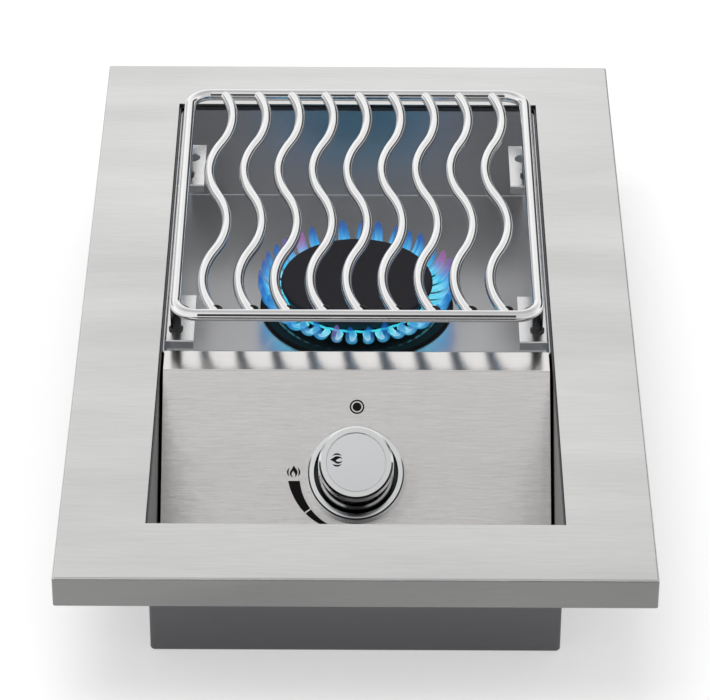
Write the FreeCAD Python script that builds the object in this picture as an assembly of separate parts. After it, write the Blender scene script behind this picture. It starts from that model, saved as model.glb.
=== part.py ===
import FreeCAD, Part
import math
import os

from FreeCAD import Vector

# Built in side burner. Millimetres, +Z up, +Y towards the back, +X to the right of the cook.
# The origin is the middle of the rectangle that the unit covers, at the height of its base.

# Whole unit and trim frame
unit_height = 99.0
trim_width = 362.0
trim_depth = 610.0
trim_skirt_height = 20.5
trim_return_width = 12.0
trim_lip_height = 10.0
trim_sheet = 1.2
trim_fold = 1.6
opening_width = 255.4
opening_depth = 500.0

# Housing box and burner tray
housing_sheet = 1.0
housing_corner = 3.0
housing_base_fold = 2.0
housing_top_drop = 2.0
vent_slot_length = 40.0
vent_slot_width = 5.0
vent_slot_pitch = 12.0
vent_slot_count = 6
vent_row_offset = 45.0
vent_row_start = 21.0
tray_sheet = 0.8
tray_corner = 6.0
tray_floor_clear = 1.2
tray_wall_drop = 4.0

# Control panel: a level ledge behind a face that falls forward
panel_sheet = 1.0
panel_fold = 1.2
panel_side_gap = 2.0
panel_flange = 8.0
panel_toe_height = 12.0
panel_foot = 14.0
panel_screw_inset = 34.4
ledge_drop = 1.0
basin_depth = 311.0
ledge_depth = 23.5
ledge_lip = 10.0
panel_slope = 42.0

# Brackets under the grate's feet
bracket_sheet = 1.2
bracket_top_drop = 6.0
bracket_reach = 18.7
bracket_length = 54.0
bracket_lip = 6.0
bracket_leg = 22.0
bracket_pin_back = 14.0
bracket_hole_radius = 5.5
bracket_hole_back = 37.0
bracket_hole_inset = 9.2

# Grate
rail_radius = 4.0
rail_height = 15.0
rail_inset = 6.8
rail_front_gap = 16.0
rail_back_gap = 12.8
rail_corner = 15.0
rod_radius = 3.7
rod_count = 9
rod_half_waves = 4
rod_amplitude = 7.0
rod_straight = 8.0
leg_radius = 3.5
leg_collar_radius = 4.75
leg_collar_height = 1.5
leg_pin_radius = 2.5
leg_pin_length = 5.0
leg_pin_gap = 0.5
rear_leg_inset = 74.2

# Burner
burner_set_back = 5.4
drip_ring_radius = 67.0
drip_ring_width = 7.0
drip_ring_height = 2.5
drip_spigot = 1.1
drip_spigot_depth = 1.6
bowl_rim_radius = 58.5
bowl_rim_height = 1.3
bowl_chamber_radius = 46.0
bowl_wall = 2.5
bowl_floor = 2.0
bowl_clear = 0.2
seat_clear = 0.6
head_radius = 48.0
head_wall = 4.8
head_height = 18.4
port_count = 36
port_width = 1.8
port_height = 6.0
port_low = 8.4
cap_radius = 52.5
cap_thickness = 6.0
cap_edge = 2.0
cap_skirt_wall = 1.7
cap_skirt_depth = 3.5
cap_gap = 0.3
tube_radius = 8.0
tube_wall = 1.0
tube_mouth_radius = 10.4
tube_mouth_length = 14.0
tube_taper_length = 10.0
air_window_length = 8.0
air_window_width = 7.0
pedestal_width = 36.0
pedestal_reach = 48.0
pedestal_foot = 12.0
pedestal_sheet = 1.2

# Knob, bezel and gas valve, along the axis square to the panel
knob_foot_height = 51.6
bezel_radius = 31.3
bezel_height = 11.5
bezel_ring_width = 4.9
bezel_base = 1.5
bezel_draft = 0.7
knob_skirt_radius = 24.3
knob_skirt_low = 7.5
knob_skirt_height = 5.0
knob_grip_radius = 23.9
knob_face_radius = 23.4
knob_height = 43.0
knob_wall = 2.6
knob_boss_radius = 6.5
disc_radius = 18.9
disc_thickness = 1.8
stem_radius = 3.0
stem_flat = 2.0
stem_in_knob = 27.0
stem_in_plug = 10.0
stem_travel = 3.5
bonnet_thickness = 3.0
bonnet_radius = 15.0
valve_ear_spread = 38.0
valve_ear_radius = 6.5
valve_flange_thickness = 4.0
valve_barrel_radius = 12.0
valve_barrel_length = 32.0
valve_outlet_radius = 7.0
valve_outlet_length = 3.0
valve_bore = 2.5
plug_top_radius = 7.3
plug_tip_radius = 5.5
plug_length = 24.0
plug_bore_depth = 20.0
spring_radius = 2.4
spring_wire = 0.35
spring_turns = 6
inlet_boss_radius = 7.0
inlet_boss_reach = 19.0
inlet_boss_down = 12.0
bonnet_screw_offset = 12.0
piezo_radius = 6.5
piezo_length = 31.0
piezo_offset = 24.0
piezo_down = 9.0

# Gas line and ignition lead
gas_line_height = 14.0
elbow_radius = 4.5
elbow_bend = 9.0
elbow_run = 12.0
jet_radius = 4.6
jet_length = 9.0
jet_bore = 0.6
jet_overlap = 4.0
pipe_radius = 4.75
pipe_bore = 3.75
pipe_bend = 16.0
pipe_inset = 26.4
thread_radius = 7.94
thread_length = 17.0
shank_radius = 8.1
shank_step = 1.0
thread_chamfer = 1.0
inlet_hex = 18.0
inlet_hex_length = 8.0
locknut_hex = 19.0
locknut_thickness = 5.0
clip_y = 40.0
clip_width = 12.0
clip_sheet = 1.0
clip_foot = 15.0
insulator_radius = 3.5
insulator_length = 20.0
electrode_radius = 1.0
electrode_rise = 7.0
electrode_offset = 52.5
lead_radius = 1.2
lead_clear = 11.5
lead_bend = 14.0

# Screws
screw_radius = 2.0
screw_head_radius = 3.6
screw_head_height = 2.0
small_screw_radius = 1.5
small_screw_head_radius = 2.7

# Clearances
seat_gap = 0.3
running_gap = 0.05

# Levels and places that follow from the sizes above
skirt_bottom = unit_height - trim_skirt_height
housing_half_x = opening_width / 2 - seat_gap
housing_half_y = opening_depth / 2 - seat_gap
housing_inner_x = housing_half_x - housing_sheet
housing_inner_y = housing_half_y - housing_sheet
tray_half_x = housing_inner_x - seat_gap
tray_inner_x = tray_half_x - tray_sheet
tray_under = gas_line_height + tube_radius + tray_floor_clear
tray_floor = tray_under + tray_sheet
ledge_back_y = opening_depth / 2 - basin_depth
tray_front = ledge_back_y - panel_sheet - seat_gap - tray_sheet
tray_rear = housing_inner_y - seat_gap
ledge_top = unit_height - ledge_drop
ledge_front_y = ledge_back_y - ledge_depth
panel_half_x = housing_inner_x - panel_side_gap
slope = math.radians(panel_slope)
panel_toe = housing_sheet + panel_toe_height
panel_toe_y = ledge_front_y - (ledge_top - panel_toe) / math.tan(slope)
bracket_top = unit_height - bracket_top_drop
rail_z = unit_height + rail_height
rail_half = tray_inner_x - rail_inset
rail_front_y = ledge_back_y + rail_front_gap
rail_back_y = opening_depth / 2 - rail_back_gap
burner_y = (rail_front_y + rail_back_y) / 2 + burner_set_back
rod_pitch = 2 * rail_half / (rod_count + 1)
front_leg_y = rail_front_y + rail_corner
rear_leg_y = rail_back_y - rear_leg_inset
knob_foot_y = ledge_front_y - (ledge_top - knob_foot_height) / math.tan(slope)
knob_foot = Vector(0, knob_foot_y, knob_foot_height)
bowl_base = gas_line_height - tube_radius - bowl_clear - bowl_floor
dish_top = tray_floor + bowl_rim_height
seat_level = gas_line_height + tube_radius + seat_clear
head_inner = head_radius - head_wall
head_top = seat_level + head_height
bonnet_top = -panel_sheet
bonnet_low = bonnet_top - bonnet_thickness
valve_rear = bonnet_low - valve_flange_thickness - valve_barrel_length
outlet_face = valve_rear - valve_outlet_length
plug_top = bonnet_low - 2 * running_gap
inlet_axis = bonnet_low - inlet_boss_down
pipe_x = pipe_inset - housing_inner_x
lead_x = bowl_rim_radius + lead_clear


def block(x0, x1, y0, y1, z0, z1):
    """An upright block between two corners."""
    return Part.makeBox(x1 - x0, y1 - y0, z1 - z0, Vector(x0, y0, z0))


def rod(radius, start, end):
    """A round bar from one point to another."""
    axis = end - start
    return Part.makeCylinder(radius, axis.Length, start, axis)


def rounded_wire(points, radii, closed):
    """Straight runs through the points, joined by tangent arcs of the radii given."""
    arrive = []
    middle = []
    leave = []
    count = len(points)
    for i, corner in enumerate(points):
        at_end = not closed and i in (0, count - 1)
        if at_end or radii[i] == 0:
            arrive.append(corner)
            middle.append(None)
            leave.append(corner)
            continue
        back = (points[i - 1] - corner).normalize()
        ahead = (points[(i + 1) % count] - corner).normalize()
        half = back.getAngle(ahead) / 2
        cut = radii[i] / math.tan(half)
        inward = (back + ahead).normalize()
        arrive.append(corner + back * cut)
        middle.append(corner + inward * (radii[i] / math.sin(half) - radii[i]))
        leave.append(corner + ahead * cut)
    edges = []
    for i in range(count):
        if middle[i] is not None:
            edges.append(Part.Arc(arrive[i], middle[i], leave[i]).toShape())
        last = not closed and i == count - 1
        if not last and (arrive[(i + 1) % count] - leave[i]).Length > 1e-6:
            edges.append(Part.LineSegment(leave[i], arrive[(i + 1) % count]).toShape())
    return Part.Wire(edges)


def rectangle(half_x, y0, y1, z):
    """The corners of a level rectangle, alike on both sides of the middle."""
    return [Vector(-half_x, y0, z), Vector(half_x, y0, z), Vector(half_x, y1, z), Vector(-half_x, y1, z)]


def rounded_block(half_x, y0, y1, z0, z1, corner):
    """A block with rounded upright corners, alike on both sides of the middle."""
    outline = rounded_wire(rectangle(half_x, y0, y1, z0), [corner] * 4, True)
    return Part.Face(outline).extrude(Vector(0, 0, z1 - z0))


def level_edges(shape, z):
    """The edges of a shape that lie at one height."""
    return [e for e in shape.Edges if all(abs(v.Z - z) < 1e-4 for v in e.Vertexes)]


def open_pan(half_x, y0, y1, z0, z1, sheet, corner, base_fold):
    """A folded sheet pan, open at the top, with a rounded fold all round its base."""
    outer = rounded_block(half_x, y0, y1, z0, z1, corner)
    outer = outer.makeFillet(base_fold, level_edges(outer, z0))
    inner = rounded_block(half_x - sheet, y0 + sheet, y1 - sheet, z0 + sheet, z1 + sheet, corner - sheet)
    inner = inner.makeFillet(base_fold - sheet, level_edges(inner, z0 + sheet))
    return outer.cut(inner)


def folded_sheet(line, sheet, fold, x0, x1):
    """A sheet folded along X: the (y, z) line of its face, thickened to the left of the line."""
    face = [Vector(x0, y, z) for y, z in line]
    ways = [(face[i + 1] - face[i]).normalize() for i in range(len(face) - 1)]
    lefts = [Vector(0, -way.z, way.y) for way in ways]
    back = [face[0] + lefts[0] * sheet]
    face_radii = [0.0]
    back_radii = [0.0]
    for i in range(1, len(face) - 1):
        share = sheet / (1 + lefts[i - 1].dot(lefts[i]))
        back.append(face[i] + (lefts[i - 1] + lefts[i]) * share)
        turns_left = ways[i - 1].y * ways[i].z - ways[i - 1].z * ways[i].y > 0
        face_radii.append(fold + sheet if turns_left else fold)
        back_radii.append(fold if turns_left else fold + sheet)
    back.append(face[-1] + lefts[-1] * sheet)
    points = face + back[::-1]
    radii = face_radii + [0.0, 0.0] + back_radii[:0:-1] + [0.0]
    return Part.Face(rounded_wire(points, radii, True)).extrude(Vector(x1 - x0, 0, 0))


def revolved(profile, centre=Vector(0, 0, 0), axis=Vector(0, 0, 1), out=Vector(1, 0, 0)):
    """A turned form: its (radius, height) profile, swept once round the axis."""
    points = [centre + out * radius + axis * height for radius, height in profile]
    wire = Part.makePolygon(points + points[:1])
    return Part.Face(wire).revolve(centre, axis, 360)


def bent_bar(points, radius, bends):
    """A round bar swept along straight runs and tangent arcs."""
    path = rounded_wire(points, bends, False)
    section = Part.Wire(Part.Circle(points[0], points[1] - points[0], radius).toShape())
    return path.makePipeShell([section], True, False)


def hexagon_bar(across_flats, centre, length):
    """A hexagonal bar along +Y with two of its flats level."""
    corner = across_flats / math.sqrt(3)
    points = []
    for step in range(7):
        angle = math.radians(60 * step)
        points.append(centre + Vector(corner * math.cos(angle), 0, corner * math.sin(angle)))
    return Part.Face(Part.makePolygon(points)).extrude(Vector(0, length, 0))


def pan_screw(radius, head_radius, head_height, reach, seat):
    """A pan head screw that points down, with its head on the seat and a cross recess."""
    rim = head_height * 0.45
    profile = [(0, -reach), (radius, -reach), (radius, 0), (head_radius, 0), (head_radius, rim)]
    profile += [(head_radius * 0.7, head_height), (0, head_height)]
    screw = revolved(profile, seat)
    deep = seat.z + head_height * 0.4
    top = seat.z + head_height + 1
    arm = head_radius * 0.55
    slit = head_radius * 0.12
    screw = screw.cut(block(seat.x - arm, seat.x + arm, seat.y - slit, seat.y + slit, deep, top))
    return screw.cut(block(seat.x - slit, seat.x + slit, seat.y - arm, seat.y + arm, deep, top))


def box_screw(reach, seat):
    """One of the unit's common screws, pointing down."""
    return pan_screw(screw_radius, screw_head_radius, screw_head_height, reach, seat)


def mirrored(shape):
    """The same piece for the other side of the unit."""
    return shape.mirror(Vector(0, 0, 0), Vector(1, 0, 0))


def on_panel(shape):
    """Moves a shape from the knob's own frame, whose z is square to the panel, to its place."""
    placed = shape.copy()
    placed.rotate(Vector(0, 0, 0), Vector(1, 0, 0), panel_slope)
    placed.translate(knob_foot)
    return placed


def panel_point(x, y, z):
    """A point of the knob's own frame, in the unit's frame."""
    turned = Vector(x, y * math.cos(slope) - z * math.sin(slope), y * math.sin(slope) + z * math.cos(slope))
    return knob_foot + turned


def make_trim_frame():
    """The picture frame of folded sheet: a top, an outer skirt turned in below, and an inner lip."""
    half_x = trim_width / 2
    half_y = trim_depth / 2
    frame = block(-half_x, half_x, -half_y, half_y, skirt_bottom, unit_height)
    folds = [e for e in frame.Edges if e.CenterOfMass.z > skirt_bottom + 0.01]
    frame = frame.makeFillet(trim_fold, folds)
    room_x = half_x - trim_sheet
    room_y = half_y - trim_sheet
    room = block(-room_x, room_x, -room_y, room_y, skirt_bottom + trim_sheet, unit_height - trim_sheet)
    frame = frame.cut(room)
    well_x = half_x - trim_return_width
    well_y = half_y - trim_return_width
    well_top = skirt_bottom + 2 * trim_sheet
    frame = frame.cut(block(-well_x, well_x, -well_y, well_y, skirt_bottom - 1, well_top))
    hole_x = opening_width / 2
    hole_y = opening_depth / 2
    lip_x = hole_x + trim_sheet
    lip_y = hole_y + trim_sheet
    lip = block(-lip_x, lip_x, -lip_y, lip_y, unit_height - trim_lip_height, unit_height - trim_sheet)
    opening = block(-hole_x, hole_x, -hole_y, hole_y, 0, unit_height + 1)
    return frame.fuse(lip).cut(opening).removeSplitter()


def vent_slots():
    """Two rows of slots each side of the burner that let air in through the base."""
    half_width = vent_slot_width / 2
    reach = vent_slot_length / 2 - half_width
    slots = []
    for side in (-1, 1):
        for step in range(vent_slot_count):
            x = side * vent_row_offset
            for y in (
                burner_y + bowl_chamber_radius + vent_row_start + step * vent_slot_pitch,
                burner_y - bowl_chamber_radius - vent_row_start - step * vent_slot_pitch,
            ):
                bar = block(x - reach, x + reach, y - half_width, y + half_width, -1, housing_sheet + 1)
                ends = [
                    rod(half_width, Vector(end, y, -1), Vector(end, y, housing_sheet + 1))
                    for end in (x - reach, x + reach)
                ]
                slots.append(bar.fuse(ends))
    return slots


def make_housing_box():
    """The deep box that hangs in the opening and hides the gas parts."""
    top = unit_height - housing_top_drop
    half_x = housing_half_x
    half_y = housing_half_y
    box = open_pan(half_x, -half_y, half_y, 0, top, housing_sheet, housing_corner, housing_base_fold)
    cutters = vent_slots()
    through = Vector(0, 0, housing_sheet + 2)
    for seat in panel_screw_seats() + pedestal_screw_seats() + [clip_screw_seat()]:
        low = Vector(seat.x, seat.y, -1)
        cutters.append(rod(screw_radius + running_gap, low, low + through))
    inlet = Vector(pipe_x, housing_inner_y - 1, gas_line_height)
    cutters.append(rod(shank_radius + seat_gap, inlet, inlet + Vector(0, housing_sheet + 2, 0)))
    return box.cut(cutters)


def make_burner_tray():
    """The basin round the burner, with a round hole for the drip ring's spigot."""
    top = unit_height - tray_wall_drop
    fold = 2 * tray_sheet
    tray = open_pan(tray_half_x, tray_front, tray_rear, tray_under, top, tray_sheet, tray_corner, fold)
    low = Vector(0, burner_y, tray_under - 1)
    hole = drip_ring_radius - drip_ring_width + seat_gap
    return tray.cut(rod(hole, low, low + Vector(0, 0, tray_sheet + 2)))


def panel_foot_y():
    """The line of the panel's screws, midway along its foot."""
    return panel_toe_y - panel_foot / 2


def panel_screw_seats():
    """Where the heads of the panel's screws rest, on the panel's foot."""
    level = housing_sheet + panel_sheet
    x = panel_half_x - panel_screw_inset
    return [Vector(side * x, panel_foot_y(), level) for side in (-1, 1)]


def make_control_panel():
    """One folded sheet: rear lip, ledge, sloping face, toe and foot, with flanges down its sides."""
    level = housing_sheet + panel_sheet
    lip_low = ledge_top - ledge_lip
    crown = [(ledge_back_y, ledge_top), (ledge_front_y, ledge_top), (panel_toe_y, panel_toe)]
    line = [(ledge_back_y, lip_low)] + crown + [(panel_toe_y, level), (panel_toe_y - panel_foot, level)]
    panel = folded_sheet(line, panel_sheet, panel_fold, -panel_half_x, panel_half_x)
    flange_line = [(tray_front - seat_gap, ledge_top), (ledge_front_y, ledge_top), (panel_toe_y, panel_toe)]
    for start in (-panel_half_x, panel_half_x - panel_sheet):
        panel = panel.fuse(folded_sheet(flange_line, panel_flange, 0.1, start, start + panel_sheet))
    cutters = [on_panel(rod(stem_radius + 3, Vector(0, 0, -20), Vector(0, 0, 5)))]
    lip_end = tray_half_x - tray_corner - seat_gap
    for x0, x1 in ((-panel_half_x - 1, -lip_end), (lip_end, panel_half_x + 1)):
        under_ledge = ledge_top - panel_sheet
        cutters.append(block(x0, x1, tray_front - seat_gap, ledge_back_y + 1, lip_low - 1, under_ledge))
    for side in (-1, 1):
        x = side * valve_ear_spread / 2
        cutters.append(on_panel(rod(screw_radius + seat_gap, Vector(x, 0, -5), Vector(x, 0, 5))))
    for seat in panel_screw_seats():
        low = seat - Vector(0, 0, panel_sheet + 1)
        cutters.append(rod(screw_radius + running_gap, low, seat + Vector(0, 0, 1)))
    return panel.cut(cutters).removeSplitter()


def make_panel_screws():
    """Two screws that hold the panel's foot down on the box."""
    reach = housing_sheet + panel_sheet
    return Part.Compound([box_screw(reach, seat) for seat in panel_screw_seats()])


def make_bracket(front, leg_y):
    """A left bracket: a shelf with a lip turned down in front and a leg down the tray's wall."""
    outer = -tray_inner_x
    inner = outer + bracket_reach
    back = front + bracket_length
    shelf_low = bracket_top - bracket_sheet
    bracket = block(outer, inner, front, back, shelf_low, bracket_top)
    lip = block(outer, inner, front, front + bracket_sheet, bracket_top - bracket_lip, bracket_top)
    leg = block(outer, outer + bracket_sheet, front, back, bracket_top - bracket_leg, bracket_top)
    bracket = bracket.fuse([lip, leg]).removeSplitter()
    folds = []
    for edge in bracket.Edges:
        middle = edge.CenterOfMass
        on_top = abs(middle.z - bracket_top) < 1e-4
        if on_top and (abs(middle.y - front) < 1e-4 or abs(middle.x - outer) < 1e-4):
            folds.append(edge)
    bracket = bracket.makeFillet(bracket_sheet, folds)
    hole = Vector(outer + bracket_hole_inset, front + bracket_hole_back, shelf_low - 1)
    rise = Vector(0, 0, bracket_sheet + 2)
    pin = Vector(-rail_half, leg_y, shelf_low - 1)
    cutters = [
        rod(bracket_hole_radius, hole, hole + rise),
        rod(leg_pin_radius + leg_pin_gap, pin, pin + rise),
    ]
    return bracket.cut(cutters)


def make_drip_ring():
    """The dark ring on the tray's floor, with a spigot through the floor's hole."""
    inner = drip_ring_radius - drip_ring_width
    spigot = inner - drip_spigot
    crest = drip_ring_height
    bevel = drip_ring_height / 2
    profile = [
        (spigot, -drip_spigot_depth),
        (inner, -drip_spigot_depth),
        (inner, 0),
        (drip_ring_radius, 0),
        (drip_ring_radius, crest - bevel),
        (drip_ring_radius - bevel, crest),
        (spigot + bevel, crest),
        (spigot, crest - bevel),
    ]
    return revolved(profile, Vector(0, burner_y, tray_floor))


def make_burner_bowl():
    """The cast bowl: a gas chamber below, and a shallow dish that flares out to its rim."""
    inner = bowl_chamber_radius - bowl_wall
    seat = head_radius + 0.5
    profile = [
        (0, bowl_base),
        (bowl_chamber_radius, bowl_base),
        (bowl_chamber_radius, seat_level - bowl_wall),
        (bowl_rim_radius, dish_top - bowl_wall),
        (bowl_rim_radius, dish_top),
        (bowl_rim_radius - 2, dish_top),
        (seat, seat_level),
        (inner, seat_level),
        (inner, bowl_base + bowl_floor),
        (0, bowl_base + bowl_floor),
    ]
    bowl = revolved(profile, Vector(0, burner_y, 0))
    mouth = Vector(0, burner_y - bowl_rim_radius - 1, gas_line_height)
    inlet = rod(tube_radius + running_gap, mouth, Vector(0, burner_y - inner + 2, gas_line_height))
    low = Vector(0, burner_y + electrode_offset, bowl_base)
    socket = rod(insulator_radius + running_gap, low, Vector(0, low.y, dish_top + 1))
    cutters = [inlet, socket]
    for seat in burner_screw_seats():
        low = seat - Vector(0, 0, bowl_floor + 1)
        cutters.append(rod(screw_radius + running_gap, low, seat + Vector(0, 0, 1)))
    return bowl.cut(cutters)


def make_burner_head():
    """The ring of ports that stands in the bowl, with a spigot inside the chamber."""
    spigot = bowl_chamber_radius - bowl_wall - seat_gap
    spigot_inner = spigot - cap_skirt_wall
    profile = [
        (spigot_inner, seat_level - cap_skirt_depth),
        (spigot, seat_level - cap_skirt_depth),
        (spigot, seat_level),
        (head_radius, seat_level),
        (head_radius, head_top),
        (head_inner, head_top),
        (head_inner, seat_level + 2),
        (spigot_inner, seat_level + 2),
    ]
    head = revolved(profile, Vector(0, burner_y, 0))
    low = seat_level + port_low
    half = port_width / 2
    ports = []
    for step in range(port_count):
        port = block(head_inner - 2, head_radius + 2, -half, half, low, low + port_height)
        port.rotate(Vector(0, 0, 0), Vector(0, 0, 1), 360.0 * (step + 0.5) / port_count)
        port.translate(Vector(0, burner_y, 0))
        ports.append(port)
    return head.cut(ports)


def make_burner_cap():
    """The flat lid over the ports, with a locating skirt inside the head."""
    skirt = head_inner - cap_gap
    top = head_top + cap_thickness
    profile = [
        (0, head_top),
        (skirt - cap_skirt_wall, head_top),
        (skirt - cap_skirt_wall, head_top - cap_skirt_depth),
        (skirt, head_top - cap_skirt_depth),
        (skirt, head_top),
        (head_radius + 0.5, head_top),
        (cap_radius - 1, head_top + cap_thickness / 4),
        (cap_radius, head_top + cap_thickness / 2),
        (cap_radius, top - cap_edge),
        (cap_radius - cap_edge * 0.3, top - cap_edge * 0.3),
        (cap_radius - cap_edge, top),
        (0, top),
    ]
    return revolved(profile, Vector(0, burner_y, 0))


def make_burner_pedestal():
    """The low bridge of folded sheet that carries the bowl above the base."""
    level = housing_sheet + pedestal_sheet
    line = [
        (pedestal_reach + pedestal_foot, level),
        (pedestal_reach, level),
        (pedestal_reach, bowl_base),
        (-pedestal_reach, bowl_base),
        (-pedestal_reach, level),
        (-pedestal_reach - pedestal_foot, level),
    ]
    bridge = folded_sheet(line, pedestal_sheet, 0.2, -pedestal_width / 2, pedestal_width / 2)
    bridge.rotate(Vector(0, 0, 0), Vector(0, 0, 1), 90)
    bridge.translate(Vector(0, burner_y, 0))
    cutters = []
    for seat in burner_screw_seats():
        cutters.append(rod(screw_radius + running_gap, Vector(seat.x, seat.y, 0), seat))
    for seat in pedestal_screw_seats():
        cutters.append(rod(screw_radius + running_gap, Vector(seat.x, seat.y, 0), seat + Vector(0, 0, 1)))
    return bridge.cut(cutters)


def burner_screw_seats():
    """Where the heads of the bowl's screws rest, on the chamber's floor."""
    reach = pedestal_width * 0.3
    return [Vector(side * reach, burner_y, bowl_base + bowl_floor) for side in (-1, 1)]


def pedestal_screw_seats():
    """Where the heads of the pedestal's screws rest, on its feet."""
    reach = pedestal_reach + pedestal_foot * 0.6
    level = housing_sheet + pedestal_sheet
    side_y = pedestal_width / 4
    return [Vector(x, burner_y + y, level) for x in (-reach, reach) for y in (-side_y, side_y)]


def make_burner_screws():
    """Two screws through the bowl's floor and four through the pedestal's feet."""
    bowl_reach = bowl_floor + pedestal_sheet
    foot_reach = housing_sheet + pedestal_sheet
    screws = [box_screw(bowl_reach, seat) for seat in burner_screw_seats()]
    screws += [box_screw(foot_reach, seat) for seat in pedestal_screw_seats()]
    return Part.Compound(screws)


def elbow_corner():
    """Where the line of the valve's outlet meets the height of the gas line."""
    start = panel_point(0, 0, outlet_face)
    run = (start.z - gas_line_height) / math.cos(slope)
    return start + Vector(0, math.sin(slope), -math.cos(slope)) * run


def jet_start():
    """The face of the elbow that the jet screws into."""
    return elbow_corner() + Vector(0, elbow_run, 0)


def make_outlet_elbow():
    """The bent outlet pipe from the valve to the jet."""
    points = [panel_point(0, 0, outlet_face), elbow_corner(), jet_start()]
    bends = [0, elbow_bend, 0]
    return bent_bar(points, elbow_radius, bends).cut(bent_bar(points, valve_bore, bends))


def make_gas_orifice():
    """The brass jet, drilled through, whose tip blows into the mixing tube."""
    neck = jet_length * 0.7
    profile = [
        (jet_bore, 0),
        (jet_radius, 0),
        (jet_radius, neck),
        (jet_radius * 0.5, jet_length),
        (jet_bore, jet_length),
    ]
    return revolved(profile, jet_start(), Vector(0, 1, 0))


def make_mixing_tube():
    """The venturi from the jet to the bowl, with four air windows round its mouth."""
    start = jet_start().y + jet_length - jet_overlap - tube_wall
    wide = tube_mouth_length
    narrow = wide + tube_taper_length
    end = burner_y - bowl_chamber_radius + bowl_wall / 2 - start
    profile = [
        (jet_radius + 2 * running_gap, 0),
        (tube_mouth_radius, 0),
        (tube_mouth_radius, wide),
        (tube_radius, narrow),
        (tube_radius, end),
        (tube_radius - tube_wall, end),
        (tube_radius - tube_wall, narrow),
        (tube_mouth_radius - tube_wall, wide),
        (tube_mouth_radius - tube_wall, tube_wall),
        (jet_radius + 2 * running_gap, tube_wall),
    ]
    centre = Vector(0, start, gas_line_height)
    tube = revolved(profile, centre, Vector(0, 1, 0))
    half = air_window_width / 2
    windows = []
    for turn in range(4):
        reach = tube_mouth_radius + 2
        window = block(tube_mouth_radius - 2 * tube_wall, reach, 3, 3 + air_window_length, -half, half)
        window.rotate(Vector(0, 0, 0), Vector(0, 1, 0), 45 + 90 * turn)
        window.translate(centre)
        windows.append(window)
    return tube.cut(windows)


def make_valve_bonnet():
    """The valve's front plate: an ear at each side for the screws from the bezel."""
    spread = valve_ear_spread / 2
    plate = Part.makeCylinder(bonnet_radius, bonnet_thickness, Vector(0, 0, bonnet_low))
    web = block(-spread, spread, -valve_ear_radius, valve_ear_radius, bonnet_low, bonnet_top)
    low = bonnet_low - 1
    high = bonnet_top + 1
    cutters = [rod(stem_radius + running_gap, Vector(0, 0, low), Vector(0, 0, high))]
    ears = [web]
    for x in (-spread, spread):
        ears.append(rod(valve_ear_radius, Vector(x, 0, bonnet_low), Vector(x, 0, bonnet_top)))
        cutters.append(rod(screw_radius + running_gap, Vector(x, 0, low), Vector(x, 0, high)))
    plate = plate.fuse(ears).removeSplitter()
    for y in (-bonnet_screw_offset, bonnet_screw_offset):
        cutters.append(rod(small_screw_radius + running_gap, Vector(0, y, low), Vector(0, y, high)))
    return on_panel(plate.cut(cutters))


def make_gas_valve_body():
    """The valve's casting: flange, barrel, inlet boss and outlet, bored for the tapered plug."""
    flange_low = bonnet_low - valve_flange_thickness
    profile = [
        (0, bonnet_low),
        (bonnet_radius, bonnet_low),
        (bonnet_radius, flange_low),
        (valve_barrel_radius, flange_low),
        (valve_barrel_radius, valve_rear + 3),
        (valve_barrel_radius - 3, valve_rear),
        (valve_outlet_radius, valve_rear),
        (valve_outlet_radius, outlet_face),
        (0, outlet_face),
    ]
    body = revolved(profile)
    boss = rod(inlet_boss_radius, Vector(-inlet_boss_reach, 0, inlet_axis), Vector(0, 0, inlet_axis))
    body = body.fuse(boss)
    seat = revolved(
        [
            (0, bonnet_low + 1),
            (plug_top_radius + running_gap, bonnet_low + 1),
            (plug_top_radius + running_gap, plug_top),
            (plug_tip_radius + running_gap, plug_top - plug_length),
            (plug_tip_radius - 1, plug_top - plug_length - 1),
            (0, plug_top - plug_length - 1),
        ]
    )
    outlet = rod(valve_bore, Vector(0, 0, outlet_face - 1), Vector(0, 0, plug_top - plug_length))
    inlet = rod(valve_bore, Vector(-inlet_boss_reach - 1, 0, inlet_axis), Vector(0, 0, inlet_axis))
    cutters = [seat, outlet, inlet]
    for y in (-bonnet_screw_offset, bonnet_screw_offset):
        low = Vector(0, y, flange_low - 1)
        cutters.append(rod(small_screw_radius + running_gap, low, Vector(0, y, bonnet_low + 1)))
        clear_x = valve_barrel_radius
        outward = math.copysign(1, y)
        near = y - outward * (small_screw_head_radius + seat_gap)
        low_y, high_y = sorted((near, y + outward * bonnet_radius))
        cutters.append(block(-clear_x, clear_x, low_y, high_y, flange_low - 3, flange_low))
    return on_panel(body.cut(cutters))


def flat_bar(radius, flat, low, high):
    """A round bar with one flat along it, at the given distance from its axis."""
    bar = Part.makeCylinder(radius, high - low, Vector(0, 0, low))
    return bar.cut(block(-radius, radius, flat, flat + radius, low - 1, high + 1))


def make_valve_plug():
    """The tapered plug that the knob turns, with a flatted bore for the stem and gas ways."""
    tip = plug_top - plug_length
    profile = [(0, plug_top), (plug_top_radius, plug_top), (plug_tip_radius, tip), (0, tip)]
    plug = revolved(profile)
    floor = plug_top - plug_bore_depth
    bore = flat_bar(stem_radius + running_gap, stem_flat + running_gap, floor, plug_top + 1)
    way = rod(valve_bore * 0.8, Vector(-plug_top_radius - 1, 0, inlet_axis), Vector(0, 0, inlet_axis))
    tail = rod(valve_bore * 0.8, Vector(0, 0, tip - 1), Vector(0, 0, floor + 1))
    return on_panel(plug.cut([bore, way, tail]))


def make_valve_stem():
    """The stem: flatted below where it slides in the plug, round above where the knob sits."""
    low = plug_top - stem_in_plug
    shoulder = plug_top + stem_travel + 0.3
    lower = flat_bar(stem_radius, stem_flat, low, shoulder)
    upper = Part.makeCylinder(stem_radius, stem_in_knob - shoulder, Vector(0, 0, shoulder))
    return on_panel(lower.fuse(upper).removeSplitter())


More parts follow.
